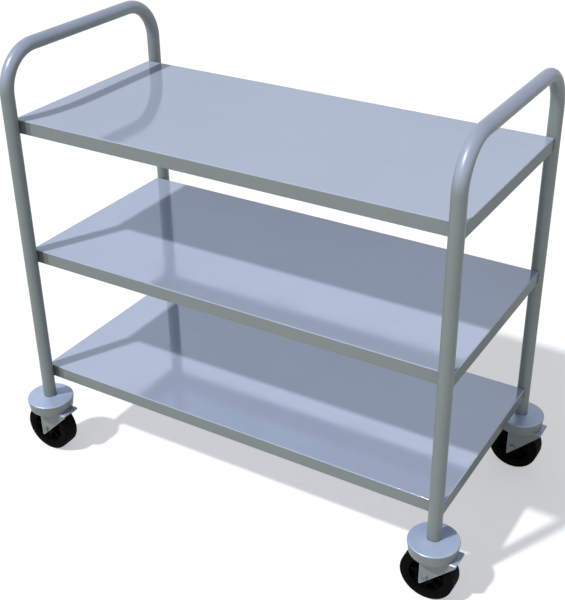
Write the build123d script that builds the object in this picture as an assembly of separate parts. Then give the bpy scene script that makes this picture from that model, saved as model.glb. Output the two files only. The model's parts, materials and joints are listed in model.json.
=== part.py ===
from build123d import *
import os

# Three-tier serving trolley. Two bent-tube end frames carry three folded sheet shelves
# and stand on four swivel castors. Units are millimetres, +Z is up and X runs along the
# shelves. The origin is on the floor, under the middle of the shelves.

# Shelves, folded from sheet
SHELF_LENGTH = 860.0
SHELF_WIDTH = 390.0
SHELF_DEPTH = 26.0
SHELF_SHEET = 1.2
SHELF_FOLD_RADIUS = 2.0
SHELF_CORNER_RADIUS = 2.5
RETURN_LIP = 12.0
MITRE_GAP = 1.0
LOWEST_SHELF_TOP = 190.0
SHELF_PITCH = 258.0
SHELF_NAMES = ("bottom", "middle", "top")

# Hat-section stiffener under each shelf
STIFFENER_LENGTH = 780.0
STIFFENER_HALF_WIDTH = 45.0
STIFFENER_SHOULDER = 30.0
STIFFENER_HALF_FLOOR = 24.0
STIFFENER_DEPTH = 18.0

# End frames, bent from round tube
TUBE_DIAMETER = 25.0
TUBE_WALL = 1.5
TUBE_BEND_RADIUS = 75.0
HANDLE_TOP = 840.5
POST_INSET = 6.4

# Shelf fixings, M5
SCREW_RADIUS = 2.5
SCREW_LENGTH = 16.0
SCREW_HEAD_RADIUS = 4.75
SCREW_HEAD_HEIGHT = 2.75
SCREW_HEAD_CROWN = 1.9
SCREW_SOCKET = 3.0
SCREW_SOCKET_DEPTH = 1.6
SCREW_HOLE_RADIUS = 2.75
WASHER_RADIUS = 5.0
WASHER_THICKNESS = 1.0
SADDLE_WIDTH = 12.0
SADDLE_HEIGHT = 20.0
SADDLE_EDGE = 2.0
SADDLE_THINNEST = 0.6
RIVET_NUT_RADIUS = 3.5
RIVET_NUT_LENGTH = 11.0
RIVET_COLLAR_RADIUS = 5.0
RIVET_COLLAR_DEPTH = 4.0

# Castor wheel and axle, M6
WHEEL_DIAMETER = 100.0
CASTOR_TRAIL = 4.0
TYRE_WIDTH = 33.0
TREAD_WIDTH = 28.0
TREAD_CROWN = 0.4
TYRE_SHOULDER = 2.9
RIM_RADIUS = 38.0
RIM_THICKNESS = 5.0
RIM_WIDTH = 30.0
RIM_KEY_HEIGHT = 2.0
RIM_KEY_WIDTH = 8.0
WEB_THICKNESS = 6.0
RIB_COUNT = 8
RIB_THICKNESS = 3.0
RIB_WIDTH = 22.0
HUB_RADIUS = 14.0
HUB_WIDTH = 34.6
BUSH_RADIUS = 7.0
BUSH_WIDTH = 35.2
AXLE_RADIUS = 3.0
AXLE_HOLE_RADIUS = 3.2
AXLE_SLEEVE_RADIUS = 5.0
AXLE_HEX = 10.0
AXLE_HEAD_HEIGHT = 4.0
AXLE_NUT_HEIGHT = 5.0
AXLE_NUT_COLLAR_RADIUS = 4.3
AXLE_NUT_COLLAR_HEIGHT = 1.2
AXLE_THREAD_SHOWING = 1.0

# Castor fork, pressed from plate
FORK_GAP = 36.0
FORK_PLATE = 2.5
FORK_BEND_RADIUS = 4.0
FORK_HEADROOM = 3.0
LEG_REAR = 15.0
LEG_TIP_HEIGHT = 30.0
LEG_TIP_RADIUS = 2.5
TONGUE_REACH = 50.5
TONGUE_CORNER = 5.0
TONGUE_DROP = 6.5
CROWN_RADIUS = 36.0
CROWN_FOLD_RADIUS = 4.0
BOSS_RADIUS = 14.5
BOSS_HEIGHT = 6.5
BOSS_FOLD_RADIUS = 3.0
BOSS_ROOT_RADIUS = 0.5

# Castor swivel bearing and head
BALL_RADIUS = 4.0
BALL_COUNT = 12
BALL_PITCH_RADIUS = 24.0
RACE_RADIUS = 33.0
RACE_GAP = 6.0
LOWER_RACE_HEIGHT = 6.3
LOWER_RACE_CHAMFER = 0.8
HEAD_GAP = 0.8
HEAD_FOOT_RADIUS = 42.6
HEAD_RIM_RADIUS = 46.0
HEAD_RIM_HEIGHT = 122.0
HEAD_LAND_RADIUS = 14.0
HEAD_LAND_HEIGHT = 126.5
HEAD_SHEET = 2.0
HEAD_ROUNDING = 3.0
KINGPIN_RADIUS = 7.0
KINGPIN_STUD_RADIUS = 6.0
KINGPIN_STUD_LENGTH = 40.0
KINGPIN_HEAD_RADIUS = 11.5
KINGPIN_HEAD_HEIGHT = 4.8
KINGPIN_SOCKET = 8.0
KINGPIN_SOCKET_DEPTH = 3.0
INSERT_FLANGE = 2.5
INSERT_LENGTH = 38.0
INSERT_CHAMFER = 1.5

# Clearances: a turning fit, the play between rolling pieces, and a fixed close fit
RUNNING_FIT = 0.06
BALL_PLAY = 0.08
CLOSE_FIT = 0.02
AXIAL_PLAY = 0.1

# Worked out from the sizes above
TUBE_RADIUS = TUBE_DIAMETER / 2
TUBE_BORE = TUBE_RADIUS - TUBE_WALL
HANDLE_AXIS = HANDLE_TOP - TUBE_RADIUS
POST_X = SHELF_LENGTH / 2 - POST_INSET
POST_Y = SHELF_WIDTH / 2 + SADDLE_THINNEST + TUBE_RADIUS
POST_FOOT = HEAD_LAND_HEIGHT + INSERT_FLANGE
SHELF_TOPS = {name: LOWEST_SHELF_TOP + tier * SHELF_PITCH for tier, name in enumerate(SHELF_NAMES)}
FIXING_DROP = SHELF_DEPTH / 2
SKIRT_FACE = SHELF_WIDTH / 2
SKIRT_INNER_FACE = SKIRT_FACE - SHELF_SHEET
WHEEL_RADIUS = WHEEL_DIAMETER / 2
FORK_HALF_GAP = FORK_GAP / 2
FORK_HALF_WIDTH = FORK_HALF_GAP + FORK_PLATE
CROWN_UNDERSIDE = WHEEL_DIAMETER + FORK_HEADROOM
CROWN_TOP = CROWN_UNDERSIDE + FORK_PLATE
TONGUE_TOP = CROWN_TOP - TONGUE_DROP
TONGUE_UNDERSIDE = TONGUE_TOP - FORK_PLATE
BOSS_TOP = CROWN_TOP + BOSS_HEIGHT
BOSS_UNDERSIDE = BOSS_TOP - FORK_PLATE
LOWER_RACE_TOP = CROWN_TOP + LOWER_RACE_HEIGHT
UPPER_RACE_FOOT = LOWER_RACE_TOP + RACE_GAP
BALL_HEIGHT = LOWER_RACE_TOP + RACE_GAP / 2

SIDES = {"left": -1, "right": 1}
CORNERS = {f"{end}_{side}": (SIDES[side] * POST_X, front * POST_Y)
           for end, front in (("front", -1), ("rear", 1))
           for side in SIDES}


def disc(radius, low, high):
    """An upright cylinder from height low to height high."""
    return Pos(0, 0, low) * extrude(Circle(radius), high - low)


def ring(outer_radius, inner_radius, low, high):
    """An upright tube from height low to height high."""
    return disc(outer_radius, low, high) - disc(inner_radius, low, high)


def turned(points):
    """A piece turned about Z, from the (radius, height) corners of its half section."""
    return revolve(Plane.XZ * make_face(Polyline(*points, close=True)), Axis.Z)


def folded_strip(points, fold_radius, thickness, side):
    """The section of a folded sheet: a line with rounded folds, thickened to one side."""
    return make_face(offset(FilletPolyline(*points, radius=fold_radius), amount=thickness, side=side))


def hexagon(across_flats):
    """A hexagon given by its spanner size."""
    return RegularPolygon(across_flats / 2, 6, major_radius=False)


def end_frame(x):
    """One tube bent to an inverted U: two legs and the handle, drilled for the shelf fixings."""
    path = FilletPolyline(
        (x, -POST_Y, POST_FOOT), (x, -POST_Y, HANDLE_AXIS), (x, POST_Y, HANDLE_AXIS), (x, POST_Y, POST_FOOT),
        radius=TUBE_BEND_RADIUS)
    section = Plane(origin=path @ 0, z_dir=path % 0)
    frame = sweep(section * Circle(TUBE_RADIUS), path) - sweep(section * Circle(TUBE_BORE), path)
    drill = Rot(90, 0, 0) * extrude(Circle(RIVET_NUT_RADIUS + CLOSE_FIT), POST_Y, both=True)
    for top in SHELF_TOPS.values():
        frame -= Pos(x, 0, top - FIXING_DROP) * drill
    return frame


def shelf():
    """A folded pan with its top at z = 0: skirts turned down, lips turned in, corners mitred."""
    outline = RectangleRounded(SHELF_LENGTH, SHELF_WIDTH, SHELF_CORNER_RADIUS)
    pan = extrude(outline, -SHELF_DEPTH)
    pan = fillet(pan.edges().group_by(Axis.Z)[0] + pan.edges().group_by(Axis.Z)[-1], SHELF_FOLD_RADIUS)
    hollow = Pos(0, 0, -SHELF_DEPTH / 2) * Box(
        SHELF_LENGTH - 2 * SHELF_SHEET, SHELF_WIDTH - 2 * SHELF_SHEET, SHELF_DEPTH - 2 * SHELF_SHEET)
    level = hollow.edges().group_by(Axis.Z)
    hollow = fillet(level[0] + level[-1], SHELF_FOLD_RADIUS - SHELF_SHEET)
    mouth = extrude(Rectangle(SHELF_LENGTH - 2 * RETURN_LIP, SHELF_WIDTH - 2 * RETURN_LIP), SHELF_SHEET)
    pan -= [hollow, Pos(0, 0, -SHELF_DEPTH) * mouth]
    slit = Pos(0, 0, SHELF_SHEET / 2) * Box(RETURN_LIP * 2 ** 0.5, MITRE_GAP, SHELF_SHEET)
    for x_side in SIDES.values():
        for y_side in SIDES.values():
            corner = (x_side * (SHELF_LENGTH / 2 - RETURN_LIP + SHELF_SHEET),
                      y_side * (SHELF_WIDTH / 2 - RETURN_LIP + SHELF_SHEET), -SHELF_DEPTH)
            pan -= Pos(*corner) * Rot(0, 0, 45 * x_side * y_side) * slit
    drill = Rot(90, 0, 0) * extrude(Circle(SCREW_HOLE_RADIUS), SHELF_WIDTH, both=True)
    for x_side in SIDES.values():
        pan -= Pos(x_side * POST_X, 0, -FIXING_DROP) * drill
    return pan


def stiffener():
    """A hat section lying against the underside of a shelf whose top is at z = 0."""
    floor = -STIFFENER_DEPTH
    line = [(-STIFFENER_HALF_WIDTH, 0), (-STIFFENER_SHOULDER, 0), (-STIFFENER_HALF_FLOOR, floor),
            (STIFFENER_HALF_FLOOR, floor), (STIFFENER_SHOULDER, 0), (STIFFENER_HALF_WIDTH, 0)]
    section = folded_strip(line, SHELF_FOLD_RADIUS, SHELF_SHEET, Side.RIGHT)
    return Pos(0, 0, -SHELF_SHEET) * extrude(Plane.YZ * section, STIFFENER_LENGTH / 2, both=True)


def shelf_screw():
    """A button-head screw along +Z, with the underside of its head at z = 0."""
    head = disc(SCREW_HEAD_RADIUS, -SCREW_HEAD_HEIGHT, 0)
    head = fillet(head.edges().sort_by(Axis.Z)[0], SCREW_HEAD_CROWN)
    socket = Pos(0, 0, -SCREW_HEAD_HEIGHT) * extrude(hexagon(SCREW_SOCKET), SCREW_SOCKET_DEPTH)
    return head - socket + disc(SCREW_RADIUS, 0, SCREW_LENGTH)


def rivet_nut():
    """A flush rivet nut along +Z, set in a leg whose nearest surface is at z = 0 and whose axis is along Y."""
    leg = Pos(0, 0, TUBE_RADIUS) * Rot(90, 0, 0)
    body = disc(RIVET_NUT_RADIUS, 0, RIVET_NUT_LENGTH)
    body &= leg * extrude(Circle(TUBE_RADIUS), TUBE_RADIUS, both=True)
    collar = disc(RIVET_COLLAR_RADIUS, 0, TUBE_WALL + RIVET_COLLAR_DEPTH)
    collar &= leg * extrude(Circle(TUBE_BORE - CLOSE_FIT), TUBE_RADIUS, both=True)
    return body + collar - disc(SCREW_RADIUS + CLOSE_FIT, 0, RIVET_NUT_LENGTH)


def saddle():
    """A spacer between a flat skirt, at z = 0, and the round leg along Y that lies against it."""
    block = Pos(0, 0, SADDLE_EDGE / 2) * Box(SADDLE_WIDTH, SADDLE_HEIGHT, SADDLE_EDGE)
    leg = Pos(0, 0, SADDLE_THINNEST + TUBE_RADIUS) * Rot(90, 0, 0)
    block -= leg * extrude(Circle(TUBE_RADIUS + CLOSE_FIT), SADDLE_HEIGHT, both=True)
    return block - disc(SCREW_HOLE_RADIUS, 0, SADDLE_EDGE)


def at_fixings(piece, skirt_distance):
    """Copies of a fixing, one where each shelf meets each leg, pointing outwards from y = skirt_distance."""
    copies = []
    for top in SHELF_TOPS.values():
        for x, y in CORNERS.values():
            front = -1 if y < 0 else 1
            place = Pos(x, front * skirt_distance, top - FIXING_DROP) * Rot(-90 * front, 0, 0)
            copies.append(place * piece)
    return Compound(copies)


def at_legs(piece):
    """Copies of a piece that stands on the axis of each leg."""
    return Compound([Pos(x, y, 0) * piece for x, y in CORNERS.values()])


def leg_insert():
    """The threaded plug in a leg's foot: a flange under the tube, a shank in its bore."""
    flange = disc(TUBE_RADIUS, HEAD_LAND_HEIGHT, POST_FOOT)
    shank = disc(TUBE_BORE - CLOSE_FIT, POST_FOOT, POST_FOOT + INSERT_LENGTH)
    shank = chamfer(shank.edges().sort_by(Axis.Z)[-1], INSERT_CHAMFER)
    bore = disc(KINGPIN_STUD_RADIUS + CLOSE_FIT, HEAD_LAND_HEIGHT, POST_FOOT + INSERT_LENGTH)
    return flange + shank - bore


def kingpin():
    """A shoulder bolt: its head holds the fork up, its shoulder clamps the head under the leg."""
    head_top = BOSS_UNDERSIDE - AXIAL_PLAY
    head = disc(KINGPIN_HEAD_RADIUS, head_top - KINGPIN_HEAD_HEIGHT, head_top)
    socket = Pos(0, 0, head_top - KINGPIN_HEAD_HEIGHT) * extrude(hexagon(KINGPIN_SOCKET), KINGPIN_SOCKET_DEPTH)
    shoulder = disc(KINGPIN_RADIUS, head_top, UPPER_RACE_FOOT)
    stud = disc(KINGPIN_STUD_RADIUS, UPPER_RACE_FOOT, UPPER_RACE_FOOT + KINGPIN_STUD_LENGTH)
    return head - socket + shoulder + stud


def castor_head():
    """The pressed head: a flat land under the leg, a shallow cone and a skirt drawn in towards its foot."""
    hole = KINGPIN_STUD_RADIUS + CLOSE_FIT
    outside = [(hole, HEAD_LAND_HEIGHT), (HEAD_LAND_RADIUS, HEAD_LAND_HEIGHT),
               (HEAD_RIM_RADIUS, HEAD_RIM_HEIGHT), (HEAD_FOOT_RADIUS, TONGUE_TOP + HEAD_GAP)]
    section = folded_strip(outside, HEAD_ROUNDING, HEAD_SHEET, Side.RIGHT)
    return revolve(Plane.XZ * section, Axis.Z)


def ball_track():
    """The ring-shaped space that the balls run in, with their play."""
    track = Pos(BALL_PITCH_RADIUS, BALL_HEIGHT) * Circle(BALL_RADIUS + BALL_PLAY)
    return revolve(Plane.XZ * track, Axis.Z)


def upper_race():
    """The ring above the balls, with a hub that the kingpin clamps against the head."""
    hole = KINGPIN_STUD_RADIUS + CLOSE_FIT
    hub_top = HEAD_LAND_HEIGHT - HEAD_SHEET
    fall = (HEAD_LAND_HEIGHT - HEAD_RIM_HEIGHT) / (HEAD_RIM_RADIUS - HEAD_LAND_RADIUS)
    hub_radius = HEAD_LAND_RADIUS - HEAD_ROUNDING
    flange_top = hub_top - (RACE_RADIUS - hub_radius) * fall
    return turned([(hole, UPPER_RACE_FOOT), (RACE_RADIUS, UPPER_RACE_FOOT), (RACE_RADIUS, flange_top),
                   (hub_radius, hub_top), (hole, hub_top)]) - ball_track()


def lower_race():
    """The ring under the balls, centred by the boss of the fork crown."""
    blank = ring(RACE_RADIUS, BOSS_RADIUS + CLOSE_FIT, CROWN_TOP, LOWER_RACE_TOP)
    bore_foot = blank.edges().group_by(Axis.Z)[0].sort_by(SortBy.RADIUS)[0]
    return chamfer(bore_foot, LOWER_RACE_CHAMFER) - ball_track()


def race_balls():
    """The ring of loose balls."""
    return Compound([place * Sphere(BALL_RADIUS)
                     for place in Pos(0, 0, BALL_HEIGHT) * PolarLocations(BALL_PITCH_RADIUS, BALL_COUNT)])


def fork_crown():
    """The round pan drawn up into the castor head, with a boss that hides the kingpin's head."""
    outside = [(KINGPIN_RADIUS + RUNNING_FIT, BOSS_TOP), (BOSS_RADIUS, BOSS_TOP), (BOSS_RADIUS, CROWN_TOP),
               (CROWN_RADIUS, CROWN_TOP), (CROWN_RADIUS, TONGUE_UNDERSIDE)]
    folds = [BOSS_FOLD_RADIUS, BOSS_ROOT_RADIUS, CROWN_FOLD_RADIUS]
    return revolve(Plane.XZ * folded_strip(outside, folds, FORK_PLATE, Side.RIGHT), Axis.Z)


def fork_leg_outline(top):
    """The triangle of a fork leg, upright at the rear and slanting up to the tongue, cut off at height top."""
    slant_end = (TONGUE_REACH, TONGUE_UNDERSIDE)
    outline = make_face(Polyline((-LEG_REAR, top), (-LEG_REAR, LEG_TIP_HEIGHT), slant_end, (TONGUE_REACH, top),
                                 close=True))
    return Plane.XZ * fillet(outline.vertices().sort_by(Axis.Y)[0], LEG_TIP_RADIUS)


def fork():
    """The pressed fork: legs folded down from a tongue that reaches out under the head, and the crown."""
    side, top = FORK_HALF_WIDTH, TONGUE_TOP
    channel = folded_strip([(-side, 0), (-side, top), (side, top), (side, 0)], FORK_BEND_RADIUS, FORK_PLATE,
                           Side.RIGHT)
    folded = extrude(Plane.YZ * channel, TONGUE_REACH, both=True)
    folded &= extrude(fork_leg_outline(TONGUE_TOP), side, both=True)
    folded &= extrude(RectangleRounded(2 * TONGUE_REACH, 2 * side, TONGUE_CORNER), TONGUE_TOP)
    under_crown = disc(CROWN_RADIUS - FORK_PLATE / 2, 0, CROWN_TOP - FORK_PLATE / 2)
    legs = extrude(fork_leg_outline(CROWN_TOP), side, both=True)
    legs -= extrude(fork_leg_outline(CROWN_TOP), FORK_HALF_GAP, both=True)
    body = (folded - under_crown) + (legs & under_crown) + fork_crown()
    drill = Rot(90, 0, 0) * extrude(Circle(AXLE_HOLE_RADIUS), side, both=True)
    return body - Pos(-CASTOR_TRAIL, 0, WHEEL_RADIUS) * drill


def on_axle(piece):
    """A piece made along +Z, laid along +Y on the axle."""
    return Pos(-CASTOR_TRAIL, 0, WHEEL_RADIUS) * Rot(-90, 0, 0) * piece


def axle_bolt():
    """The hexagon bolt through both legs of the fork."""
    head = Pos(0, 0, -FORK_HALF_WIDTH - AXLE_HEAD_HEIGHT) * extrude(hexagon(AXLE_HEX), AXLE_HEAD_HEIGHT)
    tip = FORK_HALF_WIDTH + AXLE_NUT_HEIGHT + AXLE_NUT_COLLAR_HEIGHT + AXLE_THREAD_SHOWING
    return on_axle(head + disc(AXLE_RADIUS, -FORK_HALF_WIDTH, tip))


def axle_nut():
    """The lock nut: a hexagon with a round collar that holds the locking ring."""
    seat = FORK_HALF_WIDTH
    nut = Pos(0, 0, seat) * extrude(hexagon(AXLE_HEX), AXLE_NUT_HEIGHT)
    collar_top = seat + AXLE_NUT_HEIGHT + AXLE_NUT_COLLAR_HEIGHT
    nut += disc(AXLE_NUT_COLLAR_RADIUS, seat, collar_top)
    return on_axle(nut - disc(AXLE_RADIUS + CLOSE_FIT, seat, collar_top))


def axle_sleeve():
    """The tube that spaces the fork legs and carries the wheel."""
    return on_axle(ring(AXLE_SLEEVE_RADIUS, AXLE_HOLE_RADIUS, -FORK_HALF_GAP, FORK_HALF_GAP))


def wheel_bush():
    """The plain bearing in the wheel's hub."""
    return on_axle(ring(BUSH_RADIUS, AXLE_SLEEVE_RADIUS + RUNNING_FIT, -BUSH_WIDTH / 2, BUSH_WIDTH / 2))


def rim_key(play):
    """The rib round the rim that keys the tyre in place."""
    half = RIM_KEY_WIDTH / 2 + play
    return ring(RIM_RADIUS + RIM_KEY_HEIGHT + play, HUB_RADIUS, -half, half)


def wheel_core():
    """The moulded wheel centre: hub, web with ribs on both sides, and rim."""
    web_edge = RIM_RADIUS - RIM_THICKNESS
    core = ring(HUB_RADIUS, BUSH_RADIUS, -HUB_WIDTH / 2, HUB_WIDTH / 2)
    core += ring(web_edge, BUSH_RADIUS, -WEB_THICKNESS / 2, WEB_THICKNESS / 2)
    core += ring(RIM_RADIUS, web_edge, -RIM_WIDTH / 2, RIM_WIDTH / 2)
    core += rim_key(0) - disc(web_edge, -RIM_WIDTH / 2, RIM_WIDTH / 2)
    reach = (HUB_RADIUS + web_edge) / 2
    rib = Box(RIM_RADIUS - HUB_RADIUS, RIB_THICKNESS, RIB_WIDTH)
    core += [place * rib for place in PolarLocations(reach, RIB_COUNT)]
    return on_axle(core)


def tyre():
    """The moulded tyre, crowned across its tread and keyed to the rim."""
    half = TYRE_WIDTH / 2
    shoulder = WHEEL_RADIUS - TYRE_SHOULDER
    edge = WHEEL_RADIUS - TREAD_CROWN
    tread_half = TREAD_WIDTH / 2
    tread = ThreePointArc((edge, -tread_half), (WHEEL_RADIUS, 0), (edge, tread_half))
    upper = TangentArc((edge, tread_half), (shoulder, half), tangent=tread % 1)
    lower = mirror(upper, Plane.XZ)
    sides = Polyline((shoulder, half), (RIM_RADIUS, half), (RIM_RADIUS, -half), (shoulder, -half))
    section = make_face([tread, upper, lower, sides])
    return on_axle(revolve(Plane.XZ * section, Axis.Z) - rim_key(CLOSE_FIT))


FRAME_PIECES = {
    "left_end_frame": lambda: end_frame(-POST_X),
    "right_end_frame": lambda: end_frame(POST_X),
    "leg_inserts": lambda: at_legs(leg_insert()),
    "kingpins": lambda: at_legs(kingpin()),
    "shelf_screws": lambda: at_fixings(shelf_screw(), SKIRT_INNER_FACE - WASHER_THICKNESS),
    "shelf_washers": lambda: at_fixings(
        ring(WASHER_RADIUS, SCREW_HOLE_RADIUS, 0, WASHER_THICKNESS), SKIRT_INNER_FACE - WASHER_THICKNESS),
    "saddle_spacers": lambda: at_fixings(saddle(), SKIRT_FACE),
    "rivet_nuts": lambda: at_fixings(rivet_nut(), SKIRT_FACE + SADDLE_THINNEST),
}

CASTOR_PIECES = {
    "castor_head": castor_head,
    "upper_race": upper_race,
    "race_balls": race_balls,
    "lower_race": lower_race,
    "fork": fork,
    "axle_bolt": axle_bolt,
    "axle_nut": axle_nut,
    "axle_sleeve": axle_sleeve,
    "wheel_bush": wheel_bush,
    "wheel_core": wheel_core,
    "tyre": tyre,
}


def write(node, piece):
    """One file for each piece."""
    export_step(piece, os.path.join("parts", f"{node}.step"))


os.makedirs("parts", exist_ok=True)
for node, make in FRAME_PIECES.items():
    write(node, make())
pan, hat = shelf(), stiffener()
for name, top in SHELF_TOPS.items():
    write(f"{name}_shelf", Pos(0, 0, top) * pan)
    write(f"{name}_stiffener", Pos(0, 0, top) * hat)
for name, make in CASTOR_PIECES.items():
    piece = make()
    for corner, (x, y) in CORNERS.items():
        write(f"{corner}_{name}", Pos(x, y, 0) * piece)
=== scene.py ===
import json
import logging
import math
from dataclasses import dataclass
from enum import Enum
from typing import Callable

import bmesh
import bpy
from mathutils import Matrix, Vector


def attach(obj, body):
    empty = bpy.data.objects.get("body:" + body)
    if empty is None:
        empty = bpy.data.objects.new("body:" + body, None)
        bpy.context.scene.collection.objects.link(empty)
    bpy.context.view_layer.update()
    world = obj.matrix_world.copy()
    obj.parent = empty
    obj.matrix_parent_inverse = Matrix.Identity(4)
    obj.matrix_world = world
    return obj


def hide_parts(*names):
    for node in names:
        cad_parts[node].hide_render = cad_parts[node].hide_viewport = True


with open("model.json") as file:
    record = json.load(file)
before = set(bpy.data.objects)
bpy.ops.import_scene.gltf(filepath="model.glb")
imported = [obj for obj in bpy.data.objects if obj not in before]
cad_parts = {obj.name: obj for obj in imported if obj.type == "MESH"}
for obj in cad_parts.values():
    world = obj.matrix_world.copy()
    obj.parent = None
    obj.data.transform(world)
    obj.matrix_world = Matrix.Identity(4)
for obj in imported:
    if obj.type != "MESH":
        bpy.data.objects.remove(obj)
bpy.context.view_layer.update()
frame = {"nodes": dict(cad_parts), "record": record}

LOG = logging.getLogger("serving_trolley")
MM = 0.001
QUARTER_TURN = math.pi / 2
FULL_TURN = 2 * math.pi
ORIGIN = (0, 0, 0)
LENGTHWAYS = (1, 0, 0)
CROSSWAYS = (0, 1, 0)
UP = (0, 0, 1)

# Faces are shaded as one below SMOOTH_ANGLE, and edges are broken above SHARP_ANGLE.
SMOOTH_ANGLE = math.radians(32)
SHARP_ANGLE = math.radians(40)
ARC_STEP = math.radians(12)

# Corners closer than NEAR are the same corner, and SPECK is the size of what a bevel leaves over.
NEAR = 1e-6
SPECK = 1e-5

# Corners are sorted by how far they are from this point.
SORT_FROM = (1.13, 0.71, 0.37)

LATHE_STEPS = 96
DRILL_SEGMENTS = 32
WHITE = (1, 1, 1, 1)
TREAD_WEAR = "tread_wear"
SHELF_TOPS = {"bottom": 190.0 * MM, "middle": 448.0 * MM, "top": 706.0 * MM}

Colour = tuple[float, float, float, float]
Point = tuple[float, float, float]
Span = tuple[float, float]
Profile = tuple[Span, ...]
Finishes = dict[str, bpy.types.Material]


class Pick(Enum):
    """What a selection in edit mode is made of."""

    CORNERS = "VERT"
    EDGES = "EDGE"
    FACES = "FACE"


class Rounding(Enum):
    """What a bevel rounds."""

    CORNERS = "VERTICES"
    EDGES = "EDGES"


class Join(Enum):
    """How one solid works on another."""

    ADD = "UNION"
    CUT = "DIFFERENCE"
    KEEP_COMMON = "INTERSECT"


class Socket(Enum):
    """What goes into and comes out of a node group."""

    VECTOR = "NodeSocketVector"
    NUMBER = "NodeSocketFloat"


class Corner(Enum):
    """The four corners of the trolley, with the side of X and of Y that each is on."""

    FRONT_LEFT = ("front_left", -1, -1)
    FRONT_RIGHT = ("front_right", 1, -1)
    REAR_LEFT = ("rear_left", -1, 1)
    REAR_RIGHT = ("rear_right", 1, 1)

    @property
    def label(self) -> str:
        """The corner's name as it stands in the node names."""
        return self.value[0]

    def leg(self) -> Vector:
        """The point on the floor under the axis of the corner's leg."""
        return Vector((self.value[1] * EndFrame.post_x, self.value[2] * EndFrame.post_y, 0))


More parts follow.
